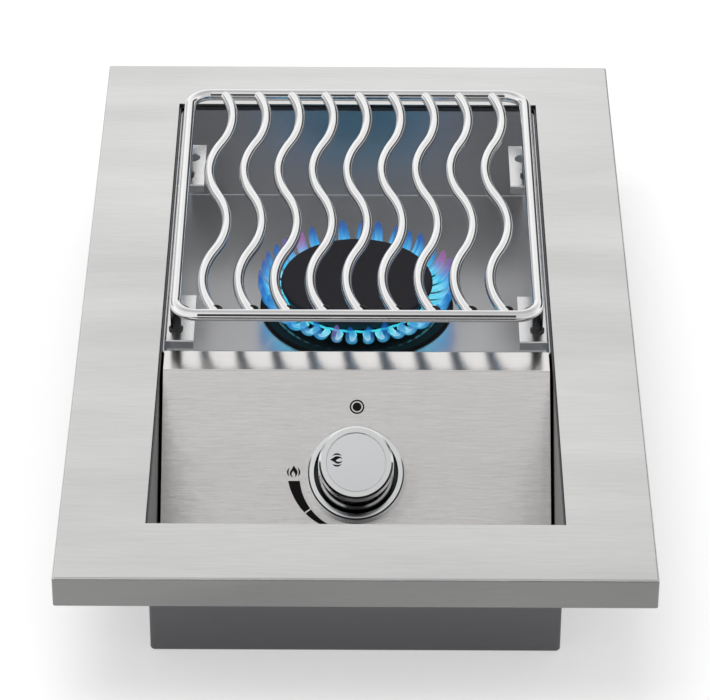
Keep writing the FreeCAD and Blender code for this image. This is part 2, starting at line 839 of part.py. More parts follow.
def make_stem_spring():
    """The coil under the stem that pushes the knob back out."""
    floor = plug_top - plug_bore_depth
    ceiling = plug_top - stem_in_plug
    clear = spring_wire + 0.05
    height = ceiling - floor - 2 * clear
    coil = Part.makeHelix(height / spring_turns, height, spring_radius - spring_wire)
    start = Vector(spring_radius - spring_wire, 0, 0)
    section = Part.Wire(Part.Circle(start, Vector(0, 1, 0), spring_wire).toShape())
    wire = Part.Wire(coil.Edges).makePipeShell([section], True, True)
    wire.translate(Vector(0, -0.35, floor + clear))
    return on_panel(wire)


def make_bonnet_screws():
    """Two small screws from behind the valve's flange into its bonnet."""
    screws = []
    seat = bonnet_low - valve_flange_thickness
    for y in (-bonnet_screw_offset, bonnet_screw_offset):
        screw = pan_screw(
            small_screw_radius, small_screw_head_radius, 1.6, valve_flange_thickness + 2, Vector(0, 0, 0)
        )
        screw.rotate(Vector(0, 0, 0), Vector(1, 0, 0), 180)
        screw.translate(Vector(0, y, seat))
        screws.append(on_panel(screw))
    return Part.Compound(screws)


def make_piezo_igniter():
    """The spark unit beside the valve, with a saddle against the valve's barrel."""
    low = -piezo_down - piezo_length
    barrel = Part.makeCylinder(piezo_radius, piezo_length, Vector(piezo_offset, 0, low))
    nose = Part.makeCylinder(piezo_radius * 0.5, 2, Vector(piezo_offset, 0, low - 2))
    saddle = block(0, piezo_offset, -piezo_radius / 2, piezo_radius / 2, low + 8, low + 20)
    saddle = saddle.cut(Part.makeCylinder(valve_barrel_radius, 40, Vector(0, 0, low)))
    return on_panel(barrel.fuse([nose, saddle]).removeSplitter())


def make_igniter_lead():
    """The lead from the spark unit, along the base and up to the electrode."""
    start = panel_point(piezo_offset, 0, -piezo_down - piezo_length - 2)
    level = housing_sheet + lead_radius
    run = (start.z - level) / math.cos(slope)
    landing = start + Vector(0, math.sin(slope), -math.cos(slope)) * run
    spark_y = burner_y + electrode_offset
    points = [
        start,
        landing,
        Vector(lead_x, landing.y + 42, level),
        Vector(lead_x, spark_y - lead_x / 2, level),
        Vector(0.4 * lead_x, spark_y + 2 * lead_radius, level),
        Vector(0, spark_y, level),
        Vector(0, spark_y, insulator_low()),
    ]
    bends = [0, lead_bend * 0.8, lead_bend, lead_bend, lead_bend * 0.8, lead_radius * 3, 0]
    return bent_bar(points, lead_radius, bends)


def insulator_low():
    """The lower end of the electrode's ceramic."""
    return dish_top + bowl_rim_height + 2 - insulator_length + electrode_rise / 2


def make_electrode_insulator():
    """The ceramic sleeve that stands through the bowl's dish."""
    centre = Vector(0, burner_y + electrode_offset, insulator_low())
    neck = insulator_length * 0.8
    profile = [
        (electrode_radius, 2),
        (electrode_radius + 1, 0),
        (insulator_radius, 0),
        (insulator_radius, neck),
        (insulator_radius * 0.6, insulator_length),
        (electrode_radius, insulator_length),
    ]
    return revolved(profile, centre)


def make_spark_electrode():
    """The bent wire whose tip stands just off the burner's ports."""
    low = insulator_low() + 2
    top = insulator_low() + insulator_length + electrode_rise
    reach = (electrode_offset - head_radius) / 2
    spark_y = burner_y + electrode_offset
    points = [Vector(0, spark_y, low), Vector(0, spark_y, top), Vector(0, spark_y - reach, top)]
    return bent_bar(points, electrode_radius, [0, electrode_radius * 1.2, 0])


def pipe_points():
    """The gas pipe's line: across from the valve, down, and along the base to the back."""
    start = panel_point(-inlet_boss_reach, 0, inlet_axis)
    drop = start.z - gas_line_height
    return [
        start,
        Vector(pipe_x, start.y, start.z),
        Vector(pipe_x, start.y + drop, gas_line_height),
        Vector(pipe_x, housing_inner_y - inlet_hex_length, gas_line_height),
    ]


def make_inlet_pipe():
    """The gas pipe from the fitting in the back wall to the valve."""
    points = pipe_points()
    bends = [0, pipe_bend * 0.6, pipe_bend, 0]
    return bent_bar(points, pipe_radius, bends).cut(bent_bar(points, pipe_bore, bends))


def make_inlet_fitting():
    """The bulkhead fitting: a hexagon inside the back wall, a shank through it and a male thread."""
    start = Vector(pipe_x, housing_inner_y - inlet_hex_length, gas_line_height)
    fitting = hexagon_bar(inlet_hex, start, inlet_hex_length)
    shank_end = Vector(pipe_x, housing_half_y + locknut_thickness + shank_step, gas_line_height)
    fitting = fitting.fuse(rod(shank_radius, start, shank_end))
    end = shank_end + Vector(0, thread_length + thread_chamfer, 0)
    fitting = fitting.fuse(rod(thread_radius, start, end))
    tip = [e for e in fitting.Edges if abs(e.CenterOfMass.y - end.y) < 1e-4]
    fitting = fitting.makeChamfer(thread_chamfer, tip)
    return fitting.cut(rod(pipe_bore, start - Vector(0, 1, 0), end + Vector(0, 1, 0)))


def make_inlet_locknut():
    """The nut that clamps the fitting to the back wall from outside."""
    start = Vector(pipe_x, housing_half_y, gas_line_height)
    nut = hexagon_bar(locknut_hex, start, locknut_thickness)
    end = start + Vector(0, locknut_thickness + 1, 0)
    return nut.cut(rod(shank_radius + running_gap, start - Vector(0, 1, 0), end))


def clip_screw_seat():
    """Where the head of the pipe clip's screw rests."""
    return Vector(pipe_x + pipe_radius + clip_foot * 0.6, clip_y, housing_sheet + clip_sheet)


def make_pipe_clip():
    """The saddle that holds the gas pipe down on the base."""
    outer = pipe_radius + clip_sheet
    front = clip_y - clip_width / 2
    back = clip_y + clip_width / 2
    arch = rod(outer, Vector(pipe_x, front, gas_line_height), Vector(pipe_x, back, gas_line_height))
    cheeks = block(pipe_x - outer, pipe_x + outer, front, back, housing_sheet, gas_line_height)
    foot_end = pipe_x + pipe_radius + clip_foot
    foot = block(pipe_x, foot_end, front, back, housing_sheet, housing_sheet + clip_sheet)
    clip = arch.fuse([cheeks, foot])
    end = Vector(pipe_x, back + 1, gas_line_height)
    bore = rod(pipe_radius, Vector(pipe_x, front - 1, gas_line_height), end)
    gap = block(pipe_x - pipe_radius, pipe_x + pipe_radius, front - 1, back + 1, 0, gas_line_height)
    seat = clip_screw_seat()
    hole = rod(screw_radius + running_gap, seat - Vector(0, 0, 3), seat + Vector(0, 0, 1))
    return clip.cut([bore, gap, hole]).removeSplitter()


def make_pipe_clip_screw():
    """The screw through the clip's foot."""
    reach = housing_sheet + clip_sheet
    return pan_screw(screw_radius, screw_head_radius, screw_head_height, reach, clip_screw_seat())


def make_knob_bezel():
    """The ring round the knob's base, with a floor that the valve's screws clamp."""
    inner = bezel_radius - bezel_ring_width
    crown = bezel_radius - bezel_draft
    profile = [
        (stem_radius + 3, 0),
        (bezel_radius, 0),
        (crown, bezel_height - 1),
        (crown - 0.9, bezel_height),
        (inner + 0.5, bezel_height),
        (inner, bezel_height - 0.6),
        (inner, bezel_base),
        (stem_radius + 3, bezel_base),
    ]
    bezel = revolved(profile)
    cutters = []
    for side in (-1, 1):
        x = side * valve_ear_spread / 2
        cutters.append(rod(screw_radius + running_gap, Vector(x, 0, -1), Vector(x, 0, bezel_base + 1)))
    return on_panel(bezel.cut(cutters))


def make_valve_screws():
    """Two screws that clamp bezel, panel and valve together, under the knob."""
    reach = bezel_base - bonnet_low
    screws = []
    for side in (-1, 1):
        seat = Vector(side * valve_ear_spread / 2, 0, bezel_base)
        screws.append(on_panel(box_screw(reach, seat)))
    return Part.Compound(screws)


def make_knob_body():
    """The knob: a ringed foot, a tall grip, a rolled face edge and a hollow with a boss inside."""
    skirt_top = knob_skirt_low + knob_skirt_height
    shoulder = knob_height - 8.0
    cavity = knob_grip_radius - knob_wall
    roof = knob_height - disc_thickness - 3.0
    recess = disc_radius + 0.2
    profile = [
        (stem_radius, knob_skirt_low + 1.5),
        (knob_boss_radius, knob_skirt_low + 1.5),
        (knob_boss_radius, roof),
        (cavity, roof),
        (cavity, knob_skirt_low),
        (knob_skirt_radius, knob_skirt_low),
        (knob_skirt_radius, skirt_top - 0.6),
        (knob_skirt_radius - 0.4, skirt_top),
        (knob_grip_radius - 0.8, skirt_top),
        (knob_grip_radius - 0.8, shoulder),
        (knob_grip_radius, shoulder),
        (knob_face_radius, knob_height - 1.2),
        (knob_face_radius - 1.2, knob_height),
        (recess, knob_height),
        (recess, knob_height - disc_thickness),
        (0, knob_height - disc_thickness),
        (0, stem_in_knob),
        (stem_radius, stem_in_knob),
    ]
    return on_panel(revolved(profile))


def make_knob_disc():
    """The round face plate let into the knob."""
    low = knob_height - disc_thickness
    top = knob_height - 0.2
    profile = [(0, low), (disc_radius, low), (disc_radius, top - 0.5), (disc_radius - 0.5, top), (0, top)]
    return on_panel(revolved(profile))


def make_grate_frame():
    """The rail: one closed loop of round bar with rounded corners."""
    path = rounded_wire(rectangle(rail_half, rail_front_y, rail_back_y, rail_z), [rail_corner] * 4, True)
    start = Vector(rail_half - rail_corner, rail_front_y, rail_z)
    section = Part.Wire(Part.Circle(start, Vector(1, 0, 0), rail_radius).toShape())
    edges = path.Edges
    first = [i for i, e in enumerate(edges) if (e.Vertexes[0].Point - start).Length < 1e-4][0]
    path = Part.Wire(edges[first:] + edges[:first])
    return path.makePipeShell([section], True, False)


def make_grate_rod(x, rail):
    """A wavy rod: tangent arcs left and right of a line, a short straight front end, saddled to the rail."""
    span = (rail_back_y - rail_front_y - rod_straight) / rod_half_waves
    arcs = []
    for step in range(rod_half_waves):
        back = rail_back_y - step * span
        bulge = rod_amplitude if step % 2 == 0 else -rod_amplitude
        start = Vector(x, back, rail_z)
        crest = Vector(x + bulge, back - span / 2, rail_z)
        arcs.append(Part.Arc(start, crest, Vector(x, back - span, rail_z)).toShape())
    last = arcs[-1].valueAt(arcs[-1].LastParameter)
    lean = arcs[-1].tangentAt(arcs[-1].LastParameter)
    straight = Part.makeLine(last, last + lean * (rod_straight / abs(lean.y)))
    path = Part.Wire(arcs + [straight])
    section = Part.Wire(Part.Circle(path.Vertexes[0].Point, arcs[0].tangentAt(0), rod_radius).toShape())
    wavy = path.makePipeShell([section], True, False).cut(rail)
    pieces = sorted(wavy.Solids, key=lambda s: s.Volume)
    return pieces[-1]


def make_grate_leg(y, rail):
    """A left foot: a post under the rail, a collar on the bracket and a pin through it."""
    profile = [
        (0, -leg_pin_length),
        (leg_pin_radius - 0.5, -leg_pin_length),
        (leg_pin_radius, -leg_pin_length + 1),
        (leg_pin_radius, 0),
        (leg_collar_radius, 0),
        (leg_collar_radius, leg_collar_height * 0.6),
        (leg_radius, leg_collar_height),
        (leg_radius, rail_z - bracket_top),
        (0, rail_z - bracket_top),
    ]
    leg = revolved(profile, Vector(-rail_half, y, bracket_top)).cut(rail)
    pieces = sorted(leg.Solids, key=lambda s: s.Volume)
    return pieces[-1]


def build_all():
    """Every piece of the unit by name."""
    pieces = {
        "trim_frame": make_trim_frame(),
        "housing_box": make_housing_box(),
        "burner_tray": make_burner_tray(),
        "control_panel": make_control_panel(),
        "panel_screws": make_panel_screws(),
        "drip_ring": make_drip_ring(),
        "burner_bowl": make_burner_bowl(),
        "burner_head": make_burner_head(),
        "burner_cap": make_burner_cap(),
        "burner_pedestal": make_burner_pedestal(),
        "burner_screws": make_burner_screws(),
        "mixing_tube": make_mixing_tube(),
        "gas_orifice": make_gas_orifice(),
        "outlet_elbow": make_outlet_elbow(),
        "gas_valve_body": make_gas_valve_body(),
        "valve_bonnet": make_valve_bonnet(),
        "bonnet_screws": make_bonnet_screws(),
        "valve_plug": make_valve_plug(),
        "valve_stem": make_valve_stem(),
        "stem_spring": make_stem_spring(),
        "piezo_igniter": make_piezo_igniter(),
        "igniter_lead": make_igniter_lead(),
        "electrode_insulator": make_electrode_insulator(),
        "spark_electrode": make_spark_electrode(),
        "inlet_pipe": make_inlet_pipe(),
        "inlet_fitting": make_inlet_fitting(),
        "inlet_locknut": make_inlet_locknut(),
        "pipe_clip": make_pipe_clip(),
        "pipe_clip_screw": make_pipe_clip_screw(),
        "knob_bezel": make_knob_bezel(),
        "valve_screws": make_valve_screws(),
        "knob_body": make_knob_body(),
        "knob_disc": make_knob_disc(),
    }
    for end, leg_y in (("front", front_leg_y), ("rear", rear_leg_y)):
        left = make_bracket(leg_y - bracket_pin_back, leg_y)
        pieces["bracket_" + end + "_left"] = left
        pieces["bracket_" + end + "_right"] = mirrored(left)
    rail = make_grate_frame()
    pieces["grate_frame"] = rail
    for step in range(rod_count):
        x = (step - (rod_count - 1) / 2) * rod_pitch
        pieces["grate_rod_" + str(step + 1)] = make_grate_rod(x, rail)
    for end, leg_y in (("front", front_leg_y), ("rear", rear_leg_y)):
        leg = make_grate_leg(leg_y, rail)
        pieces["grate_leg_" + end + "_left"] = leg
        pieces["grate_leg_" + end + "_right"] = mirrored(leg)
    return pieces


def write_all():
    """Writes one file for each piece and prints what it holds."""
    os.makedirs("parts", exist_ok=True)
    for name, shape in build_all().items():
        shape.exportStep("parts/" + name + ".step")
        box = shape.BoundBox
        print(
            "%-22s solids %d valid %s volume %10.1f  x %.1f..%.1f y %.1f..%.1f z %.1f..%.1f"
            % (
                name,
                len(shape.Solids),
                shape.isValid(),
                shape.Volume,
                box.XMin,
                box.XMax,
                box.YMin,
                box.YMax,
                box.ZMin,
                box.ZMax,
            )
        )


write_all()
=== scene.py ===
import math
import random

import bpy
from mathutils import Matrix, Vector


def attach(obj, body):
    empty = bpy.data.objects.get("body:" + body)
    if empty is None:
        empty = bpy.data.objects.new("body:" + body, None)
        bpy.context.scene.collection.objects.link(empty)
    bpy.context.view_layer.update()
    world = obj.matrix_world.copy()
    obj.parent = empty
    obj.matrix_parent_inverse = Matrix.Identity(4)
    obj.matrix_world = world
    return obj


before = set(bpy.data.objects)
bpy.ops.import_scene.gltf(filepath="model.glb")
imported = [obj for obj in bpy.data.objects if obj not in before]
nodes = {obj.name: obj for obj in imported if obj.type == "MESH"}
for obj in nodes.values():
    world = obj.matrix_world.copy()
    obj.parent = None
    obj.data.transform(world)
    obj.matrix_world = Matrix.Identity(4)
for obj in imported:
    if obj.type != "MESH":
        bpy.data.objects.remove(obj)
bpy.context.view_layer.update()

MM = 0.001

# The camera, solved from the trim's corners. Its focal length is in the picture's pixels, and its
# turns are in degrees.
PICTURE_WIDTH = 710
FOCAL_PIXELS = 3740
SENSOR_WIDTH = 36
CAMERA_PLACE = (0, -2.065, 1.465)
CAMERA_YAW, CAMERA_DIP, CAMERA_ROLL = 0.029, 34.3, 0.234

# The studio. A level of 1 is white, and a flag takes its share of that away. ROOM_LIGHT is the
# room's level as light on matt surfaces, and the other levels are what metal mirrors.
LAMP_PLACE = Vector((-0.5, -0.2, 3.6))
LAMP_WIDTH = 2.4
LAMP_POWER = 62.0
ROOM_LIGHT = 0.72
OVERHEAD_LEVEL = 0.52
RIGHT_LEVEL = 0.93
FRONT_LEFT_LEVEL, FRONT_RIGHT_LEVEL = 0.84, 0.62
LEFT_FLAG, RIGHT_FLAG = 0.6, 0.93
# Where each change in the room begins and ends, as the x, y or z part of a ray's direction.
LEFT_TO_RIGHT, FRONT_LEFT_TO_RIGHT = (-0.15, 0.15), (-0.05, 0.05)
LOW_TO_OVERHEAD = (0.46, 0.86)
SIDE_TO_FRONT, SIDE_TO_BEHIND = (0.10, -0.35), (0.30, 0.50)
RIGHT_FLAG_SIDE, RIGHT_FLAG_TOP = (0.24, 0.34), (0.42, 0.34)
LEFT_FLAG_SIDE, LEFT_FLAG_TOP = (-0.35, -0.55), (0.42, 0.32)

# The white paper that the object stands on, and the dark cards behind the camera.
FLOOR_COLOUR = (0.56, 0.56, 0.56)
FLOOR_GLOW = 0.46
CARD_HALF_WIDTH = 0.42
CARD_FOOT, CARD_BEND, CARD_TOP = (-2.9, 0.6), (-2.9, 2.5), (-2.0, 2.9)

# The brushed sheets: how far the normal of a face points sideways, or up or down.
SIDE_FACE = 0.7
UPRIGHT, SLOPING = 0.35, 0.65
NEARLY_LEVEL, LEVEL = 0.90, 0.97
LEDGE_SMOOTHING = 0.85

# The knob's axis stands square to the sloped panel, and heights run along it from the panel.
PANEL_SLOPE = math.radians(42)
KNOB_FOOT = Vector((0, -0.1360324, 0.0516))
KNOB_TOP = 0.04281
WELL_RADIUS = 0.0266
GRIP_RADIUS = 0.0236
GRIP_FOOT, GRIP_HEAD = 0.0128, 0.0347
BLACKNESS = 0.96

# The printed marks. Places and radii are in millimetres from the knob's axis, turns in degrees.
INK_DEPTH = 0.00006
INK_GAP = 0.00002
OFF_PLACE = (0.45, 45.4)
OFF_RING, OFF_HOLE, OFF_DOT = 4.7, 3.7, 2.85
HIGH_PLACE = (-39.9, 2.6)
KNOB_MARK_PLACE = (-12.2, 1.4)
SCALE_INSIDE, SCALE_THINNEST, SCALE_WIDEST = 36.0, 36.15, 43.5
SCALE_START = 184.3
SCALE_TAPER = 0.094
SCALE_PARTS = ((184.7, 215.9), (217.3, 263.0))
SCALE_STEPS = 12
SCALE_FLAT_END = -3.3

# The tacks of weld, in millimetres: their half sizes, how far each lies to the right of its rod's
# front end and behind it, and how high it is.
ROD_COUNT = 9
ROD_END = 2
WELD_HALF = (4.1, 2.8, 3.5)
WELD_RIGHT, WELD_BACK, WELD_HEIGHT = 1.3, 4.3, 114.4

# The flames. A flame's middle line is in millimetres out from the burner's axis and up, and the
# ports' turns are in degrees.
BURNER_Y = 0.1015
PORT_COUNT = 36
FIRST_PORT = 2.1
PORT_SCATTER = (-0.7, 0.7)
FLAME_ROOT = Vector((49.0, 34.0))
FLAME_BELLY = Vector((67.5, 33.5))
FLAME_TIP = Vector((67.0, 53.0))
FLAME_SEED = 11
FLAME_WIDTHS, FLAME_LEANS, FLAME_STRETCHES = (6.8, 8.6), (-2.0, 2.0), (0.90, 1.06)
FLAME_REACH, FLAME_RISE = 20, 22
FLAME_OPENING = 0.05
FLAME_WIDEST, FLAME_TAPER = 0.42, 0.58
FLAME_FLATNESS = 0.8
CONE_SHARE, CONE_WIDTH = 0.6, 0.66
WARM_PORTS = {12: 0.7, 13: 0.3, 1: 0.4, 2: 0.65, 25: 0.35, 35: 0.2}
RING_RADIUS, RING_THICKNESS, RING_HEIGHT, RING_RIPPLE = 0.0499, 0.0008, 0.0362, 0.00025


class Socket:
    """One output of a node, with arithmetic for shader maths."""

    def __init__(self, maker, output):
        self.maker = maker
        self.output = output

    def math(self, operation, *others):
        inputs = {i: value for i, value in enumerate([self, *others])}
        return self.maker.add("Math", {"operation": operation}, inputs)

    def reflected(self, operation, other):
        return self.maker.add("Math", {"operation": operation}, {0: other, 1: self})

    def __add__(self, other):
        return self.math("ADD", other)

    __radd__ = __add__

    def __sub__(self, other):
        return self.math("SUBTRACT", other)

    def __rsub__(self, other):
        return self.reflected("SUBTRACT", other)

    def __mul__(self, other):
        return self.math("MULTIPLY", other)

    __rmul__ = __mul__

    def __pow__(self, other):
        return self.math("POWER", other)

    def __gt__(self, other):
        return self.math("GREATER_THAN", other)

    def __lt__(self, other):
        return self.math("LESS_THAN", other)

    def __abs__(self):
        return self.math("ABSOLUTE")

    def most(self, other):
        """The larger of two values."""
        return self.math("MAXIMUM", other)

    def part(self, name):
        """Another output of the same node."""
        return Socket(self.maker, self.output.node.outputs[name])


def swing(noise, amount):
    """A noise made to swing about nothing, by half the amount each way."""
    return (noise - 0.5) * amount


class Nodes:
    """A node tree that is built up node by node."""

    def __init__(self, tree):
        self.tree = tree

    def put(self, value, socket):
        """Sets a socket, or links it where the value is another node's output."""
        if isinstance(value, Socket):
            self.tree.links.new(value.output, socket)
        else:
            socket.default_value = value

    def add(self, kind, settings=None, inputs=None, output=0):
        """Adds a node of any kind: its settings first, then its sockets' values or links."""
        node = self.tree.nodes.new("ShaderNode" + kind)
        for key, value in (settings or {}).items():
            if key == "stops":
                self.set_stops(node.color_ramp, value)
            else:
                setattr(node, key, value)
        for key, value in (inputs or {}).items():
            self.put(value, node.inputs[key])
        return Socket(self, node.outputs[output])

    @staticmethod
    def set_stops(ramp, stops):
        """Gives a ramp its colours, each with its place from 0 to 1."""
        while len(ramp.elements) < len(stops):
            ramp.elements.new(0.5)
        for element, (place, colour) in zip(ramp.elements, stops):
            element.position = place
            element.color = (*colour, 1)

    def axes(self, vector):
        """The three parts of a vector."""
        split = self.add("SeparateXYZ", inputs={0: vector})
        return split.part("X"), split.part("Y"), split.part("Z")

    def joined(self, x, y, z):
        """A vector or colour made of three values."""
        return self.add("CombineXYZ", inputs={0: x, 1: y, 2: z})

    def mixed(self, factor, first, second, kind="RGBA"):
        """One colour or vector laid over another."""
        places, output = ((6, 7), 2) if kind == "RGBA" else ((4, 5), 1)
        inputs = {0: factor, places[0]: first, places[1]: second}
        return self.add("Mix", {"data_type": kind}, inputs, output)

    def between(self, value, low, high, to_low=0.0, to_high=1.0):
        """A value moved from one range to another and held inside it."""
        inputs = {0: value, 1: low, 2: high, 3: to_low, 4: to_high}
        return self.add("MapRange", {"clamp": True}, inputs)

    def shades(self, value, *stops):
        """A colour read from a ramp."""
        return self.add("ValToRGB", {"stops": stops}, {0: value})


class Finish(Nodes):
    """The finish of a part: one material."""

    def __init__(self, name, **constants):
        self.material = bpy.data.materials.new(name)
        self.material.use_nodes = True
        super().__init__(self.material.node_tree)
        self.surface = self.tree.nodes["Principled BSDF"]
        for key, value in constants.items():
            self.set(key.replace("_", " "), value)

    def set(self, name, value):
        self.put(value, self.surface.inputs[name])

    def place(self):
        """The point on the object, in metres."""
        return self.add("TexCoord", output="Object")

    def stored(self, name, output):
        """A value that the mesh keeps at its points."""
        return self.add("Attribute", {"attribute_name": name}, output=output)

    def scaled(self, factors):
        """The point on the object, with each of its parts multiplied."""
        inputs = {0: self.place(), 1: factors}
        return self.add("VectorMath", {"operation": "MULTIPLY"}, inputs)

    def noise(self, vector, fineness=1.0, detail=2.0, roughness=0.5, distortion=0.0):
        inputs = {
            "Vector": vector, "Scale": fineness, "Detail": detail,
            "Roughness": roughness, "Distortion": distortion,
        }
        return self.add("TexNoise", inputs=inputs)

    def tinted(self, tone, colour):
        """Gives the surface a colour multiplied by a varying tone."""
        self.set("Base Color", self.joined(tone * colour[0], tone * colour[1], tone * colour[2]))

    def soft_edges(self, radius):
        """The surface's normal, rounded over its sharp edges."""
        return self.add("Bevel", {"samples": 4}, {"Radius": radius})

    def bumped(self, height, depth, normal=None):
        """Gives the surface a relief as deep as the height's 1."""
        inputs = {"Height": height, "Distance": depth, "Strength": 1.0}
        if normal is not None:
            inputs["Normal"] = normal
        self.set("Normal", self.add("Bump", inputs=inputs))


def give(finish, *names):
    """Puts a finish on CAD nodes."""
    for name in names:
        mesh = nodes[name].data
        mesh.materials.clear()
        mesh.materials.append(finish.material)


def named(word):
    """The names of the CAD nodes that hold a word."""
    return [name for name in nodes if word in name]


def brushed_sheet(
    name, colour, roughness, grain=0.00003, streaks=0.06, clouds=0.06, edge=0.0, side_shade=1.0, fall=0.0
):
    """Sheet steel brushed from side to side: lines along X, and along Y on its side faces.

    The upright faces may be darker than the top, by sides: a painted shade that stands in for the
    darker reflections those faces show. A level ledge may shade as if it sloped down to the back,
    by fall."""
    steel = Finish(name, Metallic=1.0)
    facing = steel.axes(steel.add("NewGeometry", output="Normal"))
    sideways = abs(facing[0]) > SIDE_FACE
    level = abs(facing[2])

    def lines(along, across):
        first = steel.scaled((along, across, across))
        second = steel.scaled((across, along, across))
        return steel.mixed(sideways, first, second, "VECTOR")

    hair = steel.noise(lines(60.0, 30000.0), roughness=0.6)
    if fall:
        ledge = steel.between(level, NEARLY_LEVEL, LEVEL)
        slope = ledge * steel.axes(steel.place())[1] * (fall / grain)
        hair = hair * (1.0 - ledge * LEDGE_SMOOTHING) - slope
    streak = steel.noise(lines(50.0, 1500.0))
    cloud = steel.noise(steel.scaled((3.0, 14.0, 14.0)), detail=3.0, distortion=0.2)
    tone = swing(streak, 2) * streaks + swing(cloud, 2) * clouds + 1.0
    # Painted shade: the upright faces are darkened, standing in for their darker reflections.
    if side_shade != 1.0:
        tone = tone * steel.between(level, UPRIGHT, SLOPING, side_shade, 1.0)
    steel.tinted(tone, colour)
    steel.set("Roughness", swing(streak, 0.05) + roughness)
    steel.bumped(hair, grain, steel.soft_edges(edge) if edge else None)
    return steel


def polished_bar(name, level, roughness=0.05):
    """Drawn round bar, with faint lines and a few dull patches."""
    bar = Finish(name, Metallic=1.0)
    drawn = bar.noise(bar.scaled((2200.0, 160.0, 2200.0)), roughness=0.6)
    patch = bar.noise(bar.place(), fineness=60.0, detail=3.0)
    bar.tinted(swing(drawn, 0.10) + swing(patch, 0.05) + 1.0, (level, level, level * 1.004))
    bar.set("Roughness", swing(patch, 0.06) + swing(drawn, 0.06) + roughness)
    bar.bumped(drawn, depth=0.000004)
    return bar


def enamel(name, colour, roughness, gloss=0.0, shine=0.5):
    """Fired black enamel with a slight orange-peel ripple, glossy where it has a coat."""
    paint = Finish(name, Coat_Weight=gloss, Coat_Roughness=0.06, Specular_IOR_Level=shine)
    ripple = paint.noise(paint.place(), fineness=320.0)
    speck = paint.noise(paint.place(), fineness=1400.0, roughness=0.6)
    paint.tinted(swing(speck, 0.5) + swing(ripple, 0.3) + 1.0, colour)
    paint.set("Roughness", swing(ripple, 0.12) + roughness)
    paint.bumped(ripple + speck * 0.4, depth=0.00003, normal=paint.soft_edges(0.0005))
    return paint


def cast_metal(name, colour, roughness):
    """As-cast metal with a sandy skin."""
    casting = Finish(name, Metallic=1.0)
    sand = casting.noise(casting.place(), fineness=1100.0, detail=3.0, roughness=0.6)
    patch = casting.noise(casting.place(), fineness=70.0, detail=3.0)
    casting.tinted(swing(sand, 0.3) + swing(patch, 0.25) + 1.0, colour)
    casting.set("Roughness", swing(patch, 0.2) + roughness)
    casting.bumped(sand, depth=0.00012, normal=casting.soft_edges(0.0004))
    return casting


def turned_metal(name, colour, roughness):
    """Machined metal with fine turning marks."""
    metal = Finish(name, Metallic=1.0)
    mark = metal.noise(metal.place(), fineness=2200.0)
    patch = metal.noise(metal.place(), fineness=120.0)
    metal.tinted(swing(mark, 0.12) + swing(patch, 0.15) + 1.0, colour)
    metal.set("Roughness", swing(patch, 0.12) + roughness)
    metal.bumped(mark, depth=0.00001, normal=metal.soft_edges(0.0003))
    return metal


def moulded(name, colour, roughness):
    """Plain moulded plastic, rubber or glaze."""
    plastic = Finish(name)
    grain = plastic.noise(plastic.place(), fineness=900.0)
    plastic.tinted(swing(grain, 0.2) + 1.0, colour)
    plastic.set("Roughness", swing(grain, 0.15) + roughness)
    plastic.bumped(grain, depth=0.00003, normal=plastic.soft_edges(0.0004))
    return plastic


def about_knob(finish):
    """How far a point lies from the knob's axis, and how high above the panel, in metres."""
    along = (0, -math.sin(PANEL_SLOPE), math.cos(PANEL_SLOPE))

    def worked_out(operation, *vectors, output=0):
        inputs = {i: vector for i, vector in enumerate(vectors)}
        return finish.add("VectorMath", {"operation": operation}, inputs, output)

    from_foot = worked_out("SUBTRACT", finish.place(), KNOB_FOOT)
    across = worked_out("CROSS_PRODUCT", from_foot, along)
    radius = worked_out("LENGTH", across, output="Value")
    height = worked_out("DOT_PRODUCT", from_foot, along, output="Value")
    return radius, height


def black_well(radius, height):
    """Inside the bezel's ring, at any height."""
    return radius < WELL_RADIUS


def painted_grip_reflection(radius, height):
    """The knob's recessed side, between its foot and its face, blackened as a painted reflection of
    the dark gap round it.
    """
    return (height > GRIP_FOOT) * (height < GRIP_HEAD) * (radius < GRIP_RADIUS)


def chrome(name, colour, roughness, blackened=None):
    """Plating with faint rings turned about the knob's axis, and a black hollow if one is given."""
    plate = Finish(name, Metallic=1.0)
    radius, height = about_knob(plate)
    ring = plate.noise(plate.joined(radius * 1500.0, 0.0, 0.0), roughness=0.6)
    haze = plate.noise(plate.place(), fineness=90.0)
    tone = swing(ring, 0.14) + swing(haze, 0.06) + 1.0
    if blackened:
        tone = tone * (1.0 - blackened(radius, height) * BLACKNESS)
    plate.tinted(tone, colour)
    plate.set("Roughness", swing(haze, 0.08) + swing(ring, 0.06) + roughness)
    plate.bumped(ring, depth=0.000004)
    return plate


def deselect():
    if bpy.context.object and bpy.context.object.mode != "OBJECT":
        bpy.ops.object.mode_set(mode="OBJECT")
    bpy.ops.object.select_all(action="DESELECT")


def started(name):
    """Names the object that an operator has just added."""
    piece = bpy.context.object
    piece.name = name
    piece.data.name = name
    return piece


def settled(piece, matrix):
    """Puts a piece's place into its mesh, with its object left at the origin."""
    piece.data.transform(matrix @ piece.matrix_world)
    piece.matrix_world = Matrix.Identity(4)
    return piece


def finished(piece, finish, body):
    """Gives a piece its finish and the body that it rides on."""
    piece.data.materials.clear()
    piece.data.materials.append(finish.material)
    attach(piece, body)


def joined_copies(name, copies):
    """Makes one piece of several."""
    deselect()
    for piece in copies:
        piece.select_set(True)
    bpy.context.view_layer.objects.active = copies[0]
    bpy.ops.object.join()
    return started(name)


def on_panel(height):
    """From a drawing, x to the right and y up the slope, to the panel about the knob's axis."""
    rise = Vector((0, math.cos(PANEL_SLOPE), math.sin(PANEL_SLOPE)))
    out = Vector((0, -math.sin(PANEL_SLOPE), math.cos(PANEL_SLOPE)))
    matrix = Matrix(((1, 0, 0, 0), (0, rise.y, out.y, 0), (0, rise.z, out.z, 0), (0, 0, 0, 1)))
    return Matrix.Translation(KNOB_FOOT + out * height) @ matrix


